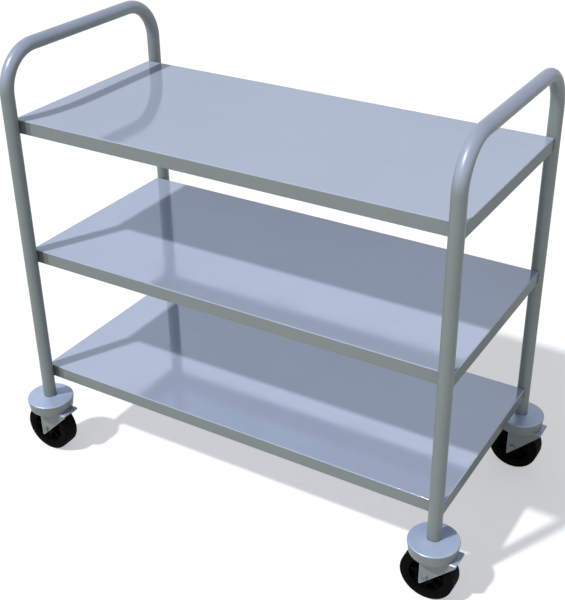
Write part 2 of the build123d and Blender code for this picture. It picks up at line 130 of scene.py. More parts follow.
class Bench:
    """One piece on the modelling bench, shaped in edit mode with Blender's own tools."""

    def __init__(self, piece: bpy.types.Object) -> None:
        """Takes the piece that a primitive has just put on the bench."""
        self.piece = piece

    @staticmethod
    def clear() -> None:
        """Leaves edit mode and deselects everything, so that the tools touch only what comes next."""
        if bpy.context.mode != "OBJECT":
            bpy.ops.object.mode_set(mode="OBJECT")
        bpy.ops.object.select_all(action="DESELECT")

    @classmethod
    def started(cls, name: str) -> "Bench":
        """Names the primitive that was just added and takes it on the bench."""
        bpy.context.active_object.name = bpy.context.active_object.data.name = name
        return cls(bpy.context.active_object)

    @classmethod
    def block(cls, name: str, low: Point, high: Point) -> "Bench":
        """Starts a piece from a block between two opposite corners.

        Args:
            name: The name of the piece.
            low: Its lowest corner.
            high: Its highest corner.

        Returns:
            The bench, in edit mode.
        """
        cls.clear()
        middle = (Vector(low) + Vector(high)) / 2
        bpy.ops.mesh.primitive_cube_add(size=1, enter_editmode=True, location=middle)
        bpy.ops.transform.resize(value=Vector(high) - Vector(low))
        return cls.started(name)

    @classmethod
    def cylinder(cls, name: str, radius: float, ends: tuple[Point, Point], segments: int) -> "Bench":
        """Starts a piece from a capped cylinder between two points.

        Args:
            name: The name of the piece.
            radius: The cylinder's radius.
            ends: The middles of its two caps.
            segments: How many faces stand for its wall.

        Returns:
            The bench, in edit mode.
        """
        cls.clear()
        start, stop = Vector(ends[0]), Vector(ends[1])
        along = stop - start
        bpy.ops.mesh.primitive_cylinder_add(
            vertices=segments, radius=radius, depth=along.length, enter_editmode=True,
            location=(start + stop) / 2, rotation=along.to_track_quat("Z", "X").to_euler())
        return cls.started(name)

    @classmethod
    def cross_drill(cls, radius: float, x: float, reach: float, height: float) -> "Bench":
        """Makes a drill that lies level across the trolley, as far to its front as to its back."""
        return cls.cylinder("drill", radius, ((x, -reach, height), (x, reach, height)), DRILL_SEGMENTS)

    @classmethod
    def line(cls, name: str, points: list[Point], rounding: dict[int, float] | None = None,
             closed: bool = False) -> "Bench":
        """Starts a piece from a line, drawn by extruding one corner from point to point.

        Args:
            name: The name of the piece.
            points: The line's corners.
            rounding: The radius of each corner that is rounded, by its number.
            closed: Whether the line ends where it begins.

        Returns:
            The bench, in edit mode, with the whole line selected.
        """
        cls.clear()
        bpy.ops.mesh.primitive_plane_add(size=MM, enter_editmode=True)
        bench = cls.started(name)
        bpy.ops.mesh.select_mode(type=Pick.CORNERS.value)
        bpy.ops.mesh.select_all(action="SELECT")
        bpy.ops.mesh.merge(type="CENTER")
        bpy.ops.transform.translate(value=points[0])
        for before, after in zip(points, points[1:]):
            bench.extrude(Vector(after) - Vector(before))
        if closed:
            first, last = Vector(points[0]), Vector(points[-1])
            bench.pick(Pick.CORNERS, lambda at: min((at - first).length, (at - last).length) < NEAR)
            bpy.ops.mesh.edge_face_add()
        for number, radius in (rounding or {}).items():
            here = Vector(points[number])
            coming, going = here - Vector(points[number - 1]), Vector(points[number + 1]) - here
            bench.round_corner(points[number], radius, coming.angle(going))
        bpy.ops.mesh.select_all(action="SELECT")
        return bench

    def pick(self, kind: Pick, test: Callable[[Vector], bool]) -> "Bench":
        """Selects what passes a test of its middle point.

        Args:
            kind: What to select.
            test: Says of a middle point whether it is selected.

        Returns:
            The bench.
        """
        bpy.ops.mesh.select_mode(type=kind.value)
        bpy.ops.mesh.select_all(action="DESELECT")
        mesh = bmesh.from_edit_mesh(self.piece.data)
        world = self.piece.matrix_world
        if kind is Pick.CORNERS:
            for corner in mesh.verts:
                corner.select_set(test(world @ corner.co))
        else:
            for item in mesh.edges if kind is Pick.EDGES else mesh.faces:
                middle = sum((corner.co for corner in item.verts), Vector()) / len(item.verts)
                item.select_set(test(world @ middle))
        mesh.select_flush_mode()
        bmesh.update_edit_mesh(self.piece.data)
        return self

    def extrude(self, along: Point) -> "Bench":
        """Extrudes the selection along a straight line."""
        bpy.ops.mesh.extrude_region_move(TRANSFORM_OT_translate={"value": along})
        return self

    def spin(self, centre: Point, axis: Point, angle: float, steps: int) -> "Bench":
        """Sweeps the selection round an axis, by an angle in radians."""
        bpy.ops.mesh.spin(steps=steps, angle=angle, center=centre, axis=axis)
        return self

    def turn(self, centre: Point, axis: Point, steps: int = LATHE_STEPS) -> "Bench":
        """Turns the selected line once round an axis into a closed skin, as on a lathe."""
        self.spin(centre, axis, FULL_TURN, steps)
        return self.close_skin()

    def round_off(self, what: Rounding, width: float, segments: int) -> "Bench":
        """Rounds the selected corners or edges."""
        bpy.ops.mesh.bevel(offset=width, segments=segments, profile=0.5, affect=what.value)
        return self

    def round_corner(self, at: Point, radius: float, turn: float) -> "Bench":
        """Rounds one corner of a line or of a sheet's edge.

        Args:
            at: The corner.
            radius: The radius of the rounding.
            turn: By how much the line turns at the corner, in radians.

        Returns:
            The bench.
        """
        corner = Vector(at)
        self.pick(Pick.CORNERS, lambda place: (place - corner).length < NEAR)
        segments = max(2, round(turn / ARC_STEP))
        return self.round_off(Rounding.CORNERS, radius * math.tan(turn / 2), segments)

    def close_skin(self) -> "Bench":
        """Merges corners that lie on each other and turns the faces outwards.

        Returns:
            The bench.
        """
        bpy.ops.mesh.select_all(action="SELECT")
        bpy.ops.mesh.remove_doubles(threshold=NEAR)
        bpy.ops.mesh.normals_make_consistent(inside=False)
        return self

    def face_out(self, test: Callable[[Vector], bool], out: Point) -> "Bench":
        """Turns an open sheet so that its face at a known place looks outwards.

        Args:
            test: Says of a face's middle point whether it is the known face.
            out: The direction that is outwards there.

        Returns:
            The bench.
        """
        bpy.ops.mesh.select_all(action="SELECT")
        bpy.ops.mesh.normals_make_consistent(inside=False)
        mesh = bmesh.from_edit_mesh(self.piece.data)
        world = self.piece.matrix_world
        known = next(face for face in mesh.faces if test(world @ face.calc_center_median()))
        if known.normal.dot(Vector(out)) < 0:
            bpy.ops.mesh.flip_normals()
        return self

    def to_floor(self) -> "Bench":
        """Ends edit mode and moves the piece's place into its mesh, with its origin on the frame's.

        Returns:
            The bench, with only this piece selected.
        """
        self.clear()
        self.piece.select_set(True)
        bpy.context.view_layer.objects.active = self.piece
        bpy.ops.object.transform_apply(location=True, rotation=True, scale=True)
        return self

    def finish_with(self, kind: str, **settings: object) -> "Bench":
        """Adds a modifier and applies it.

        Args:
            kind: The modifier's type.
            settings: Its properties.

        Returns:
            The bench.
        """
        self.to_floor()
        modifier = self.piece.modifiers.new(kind.lower(), kind)
        for name, value in settings.items():
            setattr(modifier, name, value)
        bpy.ops.object.modifier_apply(modifier=modifier.name)
        return self

    def wall(self, thickness: float) -> "Bench":
        """Gives an open sheet its thickness, on its inner side."""
        return self.finish_with("SOLIDIFY", thickness=thickness, offset=-1, use_even_offset=True)

    def combine(self, how: Join, other: "Bench") -> "Bench":
        """Lets another solid work on this one, and sorts the mesh so that each run gives the same.

        Args:
            how: Whether it is added, is cut out or keeps what they share.
            other: The other solid.

        Returns:
            The bench.
        """
        other.to_floor()
        self.finish_with("BOOLEAN", operation=how.value, solver="EXACT", object=other.piece)
        bpy.data.objects.remove(other.piece)
        bpy.ops.object.mode_set(mode="EDIT")
        bpy.ops.mesh.select_all(action="SELECT")
        bpy.context.scene.cursor.location = SORT_FROM
        bpy.ops.mesh.sort_elements(type="CURSOR_DISTANCE", elements={"VERT", "EDGE", "FACE"})
        bpy.context.scene.cursor.location = ORIGIN
        return self.to_floor()

    def soften(self, width: float, segments: int = 2) -> "Bench":
        """Breaks the sharp edges of a solid and clears what that leaves over.

        Args:
            width: How far the break reaches from the edge.
            segments: How many faces stand for it.

        Returns:
            The bench.
        """
        self.finish_with("BEVEL", width=width, segments=segments, limit_method="ANGLE",
                         angle_limit=SHARP_ANGLE, use_clamp_overlap=True)
        return self.clear_specks(SPECK)

    def clear_specks(self, size: float) -> "Bench":
        """Merges corners that nearly meet and drops the edges and faces that have no size.

        Args:
            size: How close is near enough.

        Returns:
            The bench.
        """
        bpy.ops.object.mode_set(mode="EDIT")
        bpy.ops.mesh.select_all(action="SELECT")
        bpy.ops.mesh.remove_doubles(threshold=size)
        bpy.ops.mesh.dissolve_degenerate(threshold=size)
        return self.to_floor()

    def done(self) -> bpy.types.Object:
        """Shades the piece smooth up to its sharp edges, with its flat faces left flat.

        Returns:
            The finished piece, at the origin.
        """
        self.to_floor().clear_specks(NEAR)
        bpy.ops.object.shade_smooth_by_angle(angle=SMOOTH_ANGLE)
        return self.finish_with("WEIGHTED_NORMAL", keep_sharp=True).piece


def dress(piece: bpy.types.Object, finish: bpy.types.Material) -> None:
    """Gives a piece or a CAD node one finish all over."""
    piece.data.materials.clear()
    piece.data.materials.append(finish)


def stand_in(piece: bpy.types.Object, finishes: Finishes, body: str, slot: str, node: str) -> None:
    """Dresses a piece and lets it stand for a CAD node.

    Args:
        piece: The piece.
        finishes: The finishes, by material slot.
        body: The CAD body that it moves with.
        slot: The record's material slot that it takes its finish from.
        node: The node that it stands for.
    """
    dress(piece, finishes[slot])
    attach(piece, body)
    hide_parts(node)
    LOG.info("%s: %d faces, rides on %s", piece.name, len(piece.data.polygons), body)


class Sheet:
    """Adds and links the nodes of one shader node tree."""

    def __init__(self, tree: bpy.types.NodeTree) -> None:
        """Takes the tree that the nodes go in."""
        self.tree = tree

    def feed(self, node: bpy.types.Node, inputs: dict) -> bpy.types.Node:
        """Sets or links the inputs of a node.

        Args:
            node: The node.
            inputs: Values or sockets for its inputs, by name or number.

        Returns:
            The node.
        """
        for name, value in inputs.items():
            if isinstance(value, bpy.types.NodeSocket):
                self.tree.links.new(value, node.inputs[name])
            else:
                node.inputs[name].default_value = value
        return node

    def node(self, kind: str, inputs: dict | None = None, **settings: object) -> bpy.types.Node:
        """Adds one node.

        Args:
            kind: The node's type, without its ShaderNode prefix.
            inputs: Values or sockets for its inputs, by name or number.
            settings: Its properties.

        Returns:
            The node.
        """
        made = self.tree.nodes.new(kind if kind.startswith("Node") else "ShaderNode" + kind)
        for name, value in settings.items():
            setattr(made, name, value)
        return self.feed(made, inputs or {})

    def effect(self, tree: bpy.types.NodeTree, place: bpy.types.NodeSocket,
               **values: object) -> bpy.types.NodeSocket:
        """Places a shared effect with values of its own, and gives its mask."""
        return self.node("Group", {"Place": place, **values}, node_tree=tree).outputs[0]

    def math(self, operation: str, first: object, second: object = 0.0) -> bpy.types.NodeSocket:
        """Works one number out of two."""
        return self.node("Math", {0: first, 1: second}, operation=operation).outputs[0]

    def spread(self, value: bpy.types.NodeSocket, source: Span,
               target: Span = (0.0, 1.0)) -> bpy.types.NodeSocket:
        """Maps a source range of values smoothly to a target range."""
        ends = dict(enumerate(source + target, 1))
        return self.node("MapRange", {0: value, **ends}, interpolation_type="SMOOTHSTEP").outputs[0]

    def blend(self, share: object, first: object, second: object) -> bpy.types.NodeSocket:
        """Blends two colours."""
        return self.node("Mix", {0: share, 6: first, 7: second}, data_type="RGBA").outputs[2]


def start_material(name: str) -> tuple[bpy.types.Material, Sheet, bpy.types.Node]:
    """Starts a node material.

    Args:
        name: The material's name.

    Returns:
        The material, the sheet of its nodes and its shader.
    """
    material = bpy.data.materials.new(name)
    material.use_nodes = True
    return material, Sheet(material.node_tree), material.node_tree.nodes["Principled BSDF"]


def about(middle: float, play: float) -> Span:
    """The range of a value that plays about its middle."""
    return middle - play / 2, middle + play / 2


class Effects:
    """Surface effects that several finishes share, each one a node group that is built once."""

    FINE_SHARE = 0.6
    BROAD_SHARE = 0.4
    BROAD_SCALE = 0.23
    PATCH_RANGE = (0.36, 0.66)
    EDGE_RANGE = (0.995, 0.9)
    BREAK_SCALE = 90.0
    BREAK_RANGE = (0.3, 0.6)
    BREAK_SHARES = (0.35, 1.0)

    def __init__(self) -> None:
        """Builds the groups."""
        self.grain = self.build_grain()
        self.clouds = self.build_clouds()
        self.rubbed = self.build_rubbed()

    @staticmethod
    def group(name: str, control: str, kind: Socket, mask: str) -> tuple[Sheet, dict, bpy.types.Node]:
        """Starts a node group that turns a place and one control into a mask.

        Args:
            name: The group's name.
            control: The name of its control.
            kind: What the control is.
            mask: The name of its mask.

        Returns:
            Its sheet, its input sockets and the node that takes its mask.
        """
        tree = bpy.data.node_groups.new(name, "ShaderNodeTree")
        inputs = {"Place": Socket.VECTOR, control: kind}
        for title, sort in inputs.items():
            tree.interface.new_socket(name=title, in_out="INPUT", socket_type=sort.value)
        tree.interface.new_socket(name=mask, in_out="OUTPUT", socket_type=Socket.NUMBER.value)
        sheet = Sheet(tree)
        entry = sheet.node("NodeGroupInput")
        return sheet, {title: entry.outputs[title] for title in inputs}, sheet.node("NodeGroupOutput")

    @classmethod
    def build_grain(cls) -> bpy.types.NodeTree:
        """Builds the fine lines that brushing leaves, drawn out along one direction.

        Returns:
            The node group.
        """
        sheet, given, result = cls.group("brushed_grain", "Stretch", Socket.VECTOR, "Lines")
        drawn = sheet.node("VectorMath", {0: given["Place"], 1: given["Stretch"]},
                           operation="MULTIPLY").outputs[0]
        fine = sheet.node("TexNoise", {"Vector": drawn, "Scale": 1.0, "Detail": 3.0, "Roughness": 0.65})
        broad = sheet.node("TexNoise", {"Vector": drawn, "Scale": cls.BROAD_SCALE, "Detail": 2.0})
        lines = sheet.math("ADD", sheet.math("MULTIPLY", fine.outputs[0], cls.FINE_SHARE),
                           sheet.math("MULTIPLY", broad.outputs[0], cls.BROAD_SHARE))
        sheet.feed(result, {"Lines": lines})
        return sheet.tree

    @classmethod
    def build_clouds(cls) -> bpy.types.NodeTree:
        """Builds soft patches, such as wiping, handling and dust leave.

        Returns:
            The node group.
        """
        sheet, given, result = cls.group("soft_patches", "Density", Socket.NUMBER, "Patches")
        cloud = sheet.node("TexNoise", {"Vector": given["Place"], "Scale": given["Density"],
                                        "Detail": 5.0, "Roughness": 0.55, "Distortion": 0.4})
        sheet.feed(result, {"Patches": sheet.spread(cloud.outputs[0], cls.PATCH_RANGE)})
        return sheet.tree

    @classmethod
    def build_rubbed(cls) -> bpy.types.NodeTree:
        """Builds the mask of edges that hands, trays and cloths rub bright.

        Returns:
            The node group.
        """
        sheet, given, result = cls.group("rubbed_edges", "Reach", Socket.NUMBER, "Edges")
        rounded = sheet.node("Bevel", {"Radius": given["Reach"]}, samples=4)
        plain = sheet.node("NewGeometry")
        along = sheet.node("VectorMath", {0: rounded.outputs[0], 1: plain.outputs["Normal"]},
                           operation="DOT_PRODUCT")
        edge = sheet.spread(along.outputs["Value"], cls.EDGE_RANGE)
        broken = sheet.node("TexNoise", {"Vector": given["Place"], "Scale": cls.BREAK_SCALE,
                                         "Detail": 4.0})
        patchy = sheet.spread(broken.outputs[0], cls.BREAK_RANGE, cls.BREAK_SHARES)
        sheet.feed(result, {"Edges": sheet.math("MULTIPLY", edge, patchy)})
        return sheet.tree


@dataclass(frozen=True)
class Steel:
    """A metal finish: brushed lines, handling patches and rubbed edges over a base painted in a lit and a
    shaded tone.

    Faces that look up get a brighter and cooler colour than the others, and with both_sides also those
    that look down. This is painted light: it stands for the sky's light and reflection on level faces and
    for the shade on the sides. up_range says between which leans one tone turns into the other, and
    slope_gloss how much of the metal's shine is left there, as on a fold.
    """

    name: str
    # Painted light: the lit, cooler colour of faces that look up, then the shaded colour of the faces
    # that look sideways.
    painted_lit_top_colour: Colour
    painted_shaded_side_colour: Colour
    rub_colour: Colour
    metallic: float
    roughness: float
    stretch: Point
    rub_reach: float = 1.2 * MM
    roughness_play: float = 0.08
    patch_density: float = 9.0
    patch_shade: float = 0.9
    grain_height: float = 0.02 * MM
    grain_strength: float = 0.6
    wear_range: Span = (0.2, 0.8)
    skin_gloss: float = 0.1
    edge_gloss: float = 0.6
    up_range: Span = (0.15, 0.85)
    both_sides: bool = False
    slope_gloss: float = 1.0
    slope_range: Span = (0.0, 0.1)

    def make(self, effects: Effects) -> bpy.types.Material:
        """Makes the finish.

        Args:
            effects: The shared surface effects.

        Returns:
            The material.
        """
        material, sheet, shader = start_material(self.name)
        where = sheet.node("TexCoord")
        place = where.outputs["Object"]
        lean = sheet.node("SeparateXYZ", {0: where.outputs["Normal"]}).outputs[2]
        # Painted light on faces that look down as well, so that they throw more light onto the faces
        # below them.
        if self.both_sides:
            lean = sheet.math("ABSOLUTE", lean)
        up = sheet.spread(lean, self.up_range)
        shine = self.metallic
        if self.slope_gloss < 1.0:
            sloping = sheet.math("MULTIPLY", up, sheet.math("SUBTRACT", 1.0, up))
            shine = sheet.spread(sloping, self.slope_range,
                                 (self.metallic, self.metallic * self.slope_gloss))
        lines = sheet.effect(effects.grain, place, Stretch=self.stretch)
        patches = sheet.effect(effects.clouds, place, Density=self.patch_density)
        edges = sheet.effect(effects.rubbed, place, Reach=self.rub_reach)
        wear = sheet.math("MULTIPLY", sheet.math("ADD", patches, lines), 0.5)
        # Painted light and shade: faces that look up take the lit colour, and the others take the shaded
        # one.
        painted_light_base = sheet.blend(up, self.painted_shaded_side_colour, self.painted_lit_top_colour)
        shaded = sheet.node("VectorMath", {0: painted_light_base, 1: (self.patch_shade,) * 3}, operation="MULTIPLY")
        worn = sheet.blend(wear, painted_light_base, shaded.outputs[0])
        bump = sheet.node("Bump", {"Height": lines, "Distance": self.grain_height,
                                   "Strength": self.grain_strength})
        sheet.feed(shader, {
            "Base Color": sheet.blend(edges, worn, self.rub_colour),
            "Metallic": shine,
            "Roughness": sheet.spread(wear, self.wear_range, about(self.roughness, self.roughness_play)),
            "Specular IOR Level": self.skin_gloss,
            "Specular Tint": (self.edge_gloss, self.edge_gloss, self.edge_gloss, 1),
            "Normal": bump.outputs[0]})
        return material


@dataclass(frozen=True)
class Moulded:
    """A moulded rubber or plastic finish: fine pores, mottling, dull rubbed edges and scuffs.

    wear_attribute names the piece's own attribute that marks where it is scuffed.
    """

    name: str
    colour: Colour
    mottle_colour: Colour
    rub_colour: Colour
    roughness: float
    roughness_play: float = 0.12
    pore_density: float = 900.0
    pore_height: float = 0.06 * MM
    pore_strength: float = 0.5
    mottle_density: float = 60.0
    rub_reach: float = 0.8 * MM
    skin_gloss: float = 0.4
    wear_attribute: str = ""

    def make(self, effects: Effects) -> bpy.types.Material:
        """Makes the finish.

        Args:
            effects: The shared surface effects.

        Returns:
            The material.
        """
        material, sheet, shader = start_material(self.name)
        place = sheet.node("TexCoord").outputs["Object"]
        patches = sheet.effect(effects.clouds, place, Density=self.mottle_density)
        wear = sheet.effect(effects.rubbed, place, Reach=self.rub_reach)
        if self.wear_attribute:
            tread = sheet.node("Attribute", attribute_name=self.wear_attribute)
            wear = sheet.math("MAXIMUM", wear, sheet.math("MULTIPLY", tread.outputs["Fac"], patches))
        mottled = sheet.blend(patches, self.colour, self.mottle_colour)
        pores = sheet.node("TexNoise", {"Vector": place, "Scale": self.pore_density, "Detail": 2.0})
        bump = sheet.node("Bump", {"Height": pores.outputs[0], "Distance": self.pore_height,
                                   "Strength": self.pore_strength})
        sheet.feed(shader, {
            "Base Color": sheet.blend(wear, mottled, self.rub_colour),
            "Roughness": sheet.spread(patches, (0.0, 1.0), about(self.roughness, self.roughness_play)),
            "Specular IOR Level": self.skin_gloss,
            "Normal": bump.outputs[0]})
        return material


WHEEL_BLACKS = {"colour": (0.002, 0.002, 0.002, 1), "mottle_colour": (0.003, 0.003, 0.003, 1),
                "rub_colour": (0.007, 0.007, 0.007, 1), "skin_gloss": 0.03}
# Each steel finish's two colours are painted light and shade: a lit, cooler colour for faces that look
# up, and a shaded one for the rest.
FINISHES = {
    "stainless_tube": Steel(
        "satin_tube", painted_lit_top_colour=(0.33, 0.375, 0.48, 1), painted_shaded_side_colour=(0.215, 0.247, 0.24, 1),
        rub_colour=(0.36, 0.40, 0.44, 1), metallic=0.2, roughness=0.36, stretch=(900, 900, 900),
        roughness_play=0.1, patch_shade=0.95, grain_height=0.006 * MM, up_range=(0.02, 0.45)),
    "stainless_sheet": Steel(
        "polished_sheet", painted_lit_top_colour=(0.458, 0.522, 0.655, 1), painted_shaded_side_colour=(0.221, 0.246, 0.241, 1),
        rub_colour=(0.42, 0.48, 0.56, 1), metallic=0.37, roughness=0.08, stretch=(30, 1500, 1500),
        roughness_play=0.05, patch_shade=0.96, skin_gloss=0.0, both_sides=True, slope_gloss=0.0),
    "castor_steel": Steel(
        "zinc_plated_pressing", painted_lit_top_colour=(0.435, 0.525, 0.71, 1), painted_shaded_side_colour=(0.222, 0.25, 0.245, 1),
        rub_colour=(0.42, 0.46, 0.52, 1), metallic=0.3, roughness=0.34, stretch=(260, 260, 260),
        roughness_play=0.1, patch_density=40.0, grain_height=0.006 * MM),
    "fastener_steel": Steel(
        "zinc_plated_fastener", painted_lit_top_colour=(0.30, 0.33, 0.36, 1), painted_shaded_side_colour=(0.20, 0.22, 0.22, 1),
        rub_colour=(0.36, 0.38, 0.40, 1), metallic=0.7, roughness=0.4, stretch=(500, 500, 500),
        rub_reach=0.5 * MM, patch_density=120.0, patch_shade=0.8),
    "bearing_steel": Steel(
        "oiled_bearing_steel", painted_lit_top_colour=(0.34, 0.34, 0.35, 1), painted_shaded_side_colour=(0.28, 0.28, 0.29, 1),
        rub_colour=(0.55, 0.55, 0.55, 1), metallic=0.95, roughness=0.18, stretch=(300, 300, 300),
        rub_reach=0.4 * MM, patch_density=150.0, patch_shade=0.7),
    "tyre_rubber": Moulded(
        "black_tyre_rubber", roughness=0.7, wear_attribute=TREAD_WEAR, **WHEEL_BLACKS),
    "wheel_plastic": Moulded("black_wheel_plastic", roughness=0.6, **WHEEL_BLACKS),
    "bush_plastic": Moulded(
        "bearing_plastic", colour=(0.55, 0.54, 0.50, 1), mottle_colour=(0.47, 0.46, 0.42, 1),
        rub_colour=(0.6, 0.6, 0.56, 1), roughness=0.4),
    # The saddle spacers' near-black colour is painted shade: it was taken from the dark patch beside each
    # leg, which is the leg's own shadow on the skirt.
    "saddle_plastic": Moulded(
        "saddle_plastic", colour=(0.055, 0.062, 0.06, 1), mottle_colour=(0.075, 0.08, 0.078, 1),
        rub_colour=(0.11, 0.115, 0.11, 1), roughness=0.5),
}


@dataclass
class EndFrame:
    """One end of the trolley: a tube bent to an inverted U, whose top is the handle."""

    side: str
    post_x: float = 423.6 * MM
    post_y: float = 208.1 * MM
    post_foot: float = 129.0 * MM
    handle_axis: float = 828.0 * MM
    tube_radius: float = 12.5 * MM
    tube_wall: float = 1.5 * MM
    bend_radius: float = 75.0 * MM
    fixing_heights: tuple[float, ...] = (177.0 * MM, 435.0 * MM, 693.0 * MM)
    fixing_hole: float = 3.52 * MM
    tube_segments: int = 72
    bend_steps: int = 28

    def build(self) -> bpy.types.Object:
        """Bends the tube, gives it its wall and drills it for the shelf fixings.

        Returns:
            The end frame.
        """
        x = self.post_x if self.side == "right" else -self.post_x
        bend_height = self.handle_axis - self.bend_radius
        bend_y = self.post_y - self.bend_radius
        rise = bend_height - self.post_foot
        Bench.clear()
        bpy.ops.mesh.primitive_circle_add(vertices=self.tube_segments, radius=self.tube_radius,
                                          enter_editmode=True, location=(x, -self.post_y, self.post_foot))
        tube = Bench.started(f"{self.side}_end_tube")
        tube.extrude((0, 0, rise))
        tube.spin((x, -bend_y, bend_height), LENGTHWAYS, QUARTER_TURN, self.bend_steps)
        tube.extrude((0, 2 * bend_y, 0))
        tube.spin((x, bend_y, bend_height), LENGTHWAYS, QUARTER_TURN, self.bend_steps)
        tube.extrude((0, 0, -rise))
        tube.close_skin().wall(self.tube_wall)
        for height in self.fixing_heights:
            tube.combine(Join.CUT, Bench.cross_drill(self.fixing_hole, x, self.post_y, height))
        return tube.done()

    def fit(self, finishes: Finishes) -> None:
        """Builds the end frame, dresses it and lets it stand for its CAD node."""
        stand_in(self.build(), finishes, "frame", "stainless_tube", f"{self.side}_end_frame")


@dataclass
class Shelf:
    """A folded sheet pan: flat top, skirts turned down, lips turned in and mitred at the corners.

    blade_reach is how far a mitre blade goes outwards and back inwards from the lip's inner corner,
    as shares of the lip, and blade_rise how far it goes up, as a share of the sheet.
    """

    tier: str
    top: float
    length: float = 860.0 * MM
    width: float = 390.0 * MM
    depth: float = 26.0 * MM
    sheet: float = 1.2 * MM
    fold_radius: float = 2.0 * MM
    corner_radius: float = 2.5 * MM
    lip: float = 12.0 * MM
    mitre_gap: float = 1.0 * MM
    blade_reach: Span = (0.7, 0.8)
    blade_rise: float = 1.5
    fixing_drop: float = 13.0 * MM
    fixing_hole: float = 2.75 * MM
    fold_segments: int = 6

    @property
    def foot(self) -> float:
        """The height of the lips' underside."""
        return self.top - self.depth

    def build(self) -> bpy.types.Object:
        """Folds the pan, thickens it, slits its mitres and drills its skirts.

        Returns:
            The shelf.
        """
        Bench.clear()
        bpy.ops.mesh.primitive_plane_add(size=1, enter_editmode=True, location=(0, 0, self.top))
        bpy.ops.transform.resize(value=(self.length, self.width, 1))
        pan = Bench.started(f"{self.tier}_shelf_pan")
        pan.pick(Pick.CORNERS, lambda at: True)
        pan.round_off(Rounding.CORNERS, self.corner_radius, self.fold_segments)
        pan.pick(Pick.EDGES, lambda at: True)
        pan.extrude((0, 0, -self.depth))
        pan.extrude((0, 0, 0))
        middle = (0, 0, self.foot)
        bpy.ops.transform.resize(value=(1 - 2 * self.lip / self.length, 1 - 2 * self.lip / self.width, 1),
                                 center_override=middle)
        pan.pick(Pick.FACES, lambda at: (at - Vector(middle)).length < self.lip)
        bpy.ops.mesh.delete(type="FACE")
        pan.face_out(lambda at: abs(at.z - self.top) < NEAR, UP)
        pan.pick(Pick.EDGES, self.is_fold)
        pan.round_off(Rounding.EDGES, self.fold_radius, self.fold_segments)
        pan.wall(self.sheet)
        for x_side in (-1, 1):
            drill = Bench.cross_drill(self.fixing_hole, x_side * EndFrame.post_x, self.width,
                                      self.top - self.fixing_drop)
            pan.combine(Join.CUT, drill)
            for y_side in (-1, 1):
                pan.combine(Join.CUT, self.mitre(x_side, y_side))
        return pan.done()

    def is_fold(self, at: Vector) -> bool:
        """Says of an edge's middle whether it is on a fold, round the top or where the lips start."""
        near, far = sorted((self.length / 2 - abs(at.x), self.width / 2 - abs(at.y)))
        return abs(at.z - self.top) < NEAR or (
            abs(at.z - self.foot) < NEAR and (near < NEAR or far < self.corner_radius))

    def mitre(self, x_side: int, y_side: int) -> Bench:
        """Makes the blade that slits the lips at one corner.

        Args:
            x_side: The side of X that the corner is on.
            y_side: The side of Y that it is on.

        Returns:
            The blade.
        """
        inner = Vector((x_side * (self.length / 2 - self.lip), y_side * (self.width / 2 - self.lip),
                        self.foot))
        outwards, inwards = self.blade_reach
        blade = Bench.block("blade", (-self.lip * inwards, -self.mitre_gap / 2, -self.sheet),
                            (self.lip * outwards, self.mitre_gap / 2, self.sheet * self.blade_rise))
        blade.to_floor()
        turn = math.atan2(y_side, x_side)
        blade.piece.data.transform(Matrix.Translation(inner) @ Matrix.Rotation(turn, 4, "Z"))
        return blade

    def fit(self, finishes: Finishes) -> None:
        """Builds the shelf, dresses it and lets it stand for its CAD node."""
        stand_in(self.build(), finishes, "frame", "stainless_sheet", f"{self.tier}_shelf")


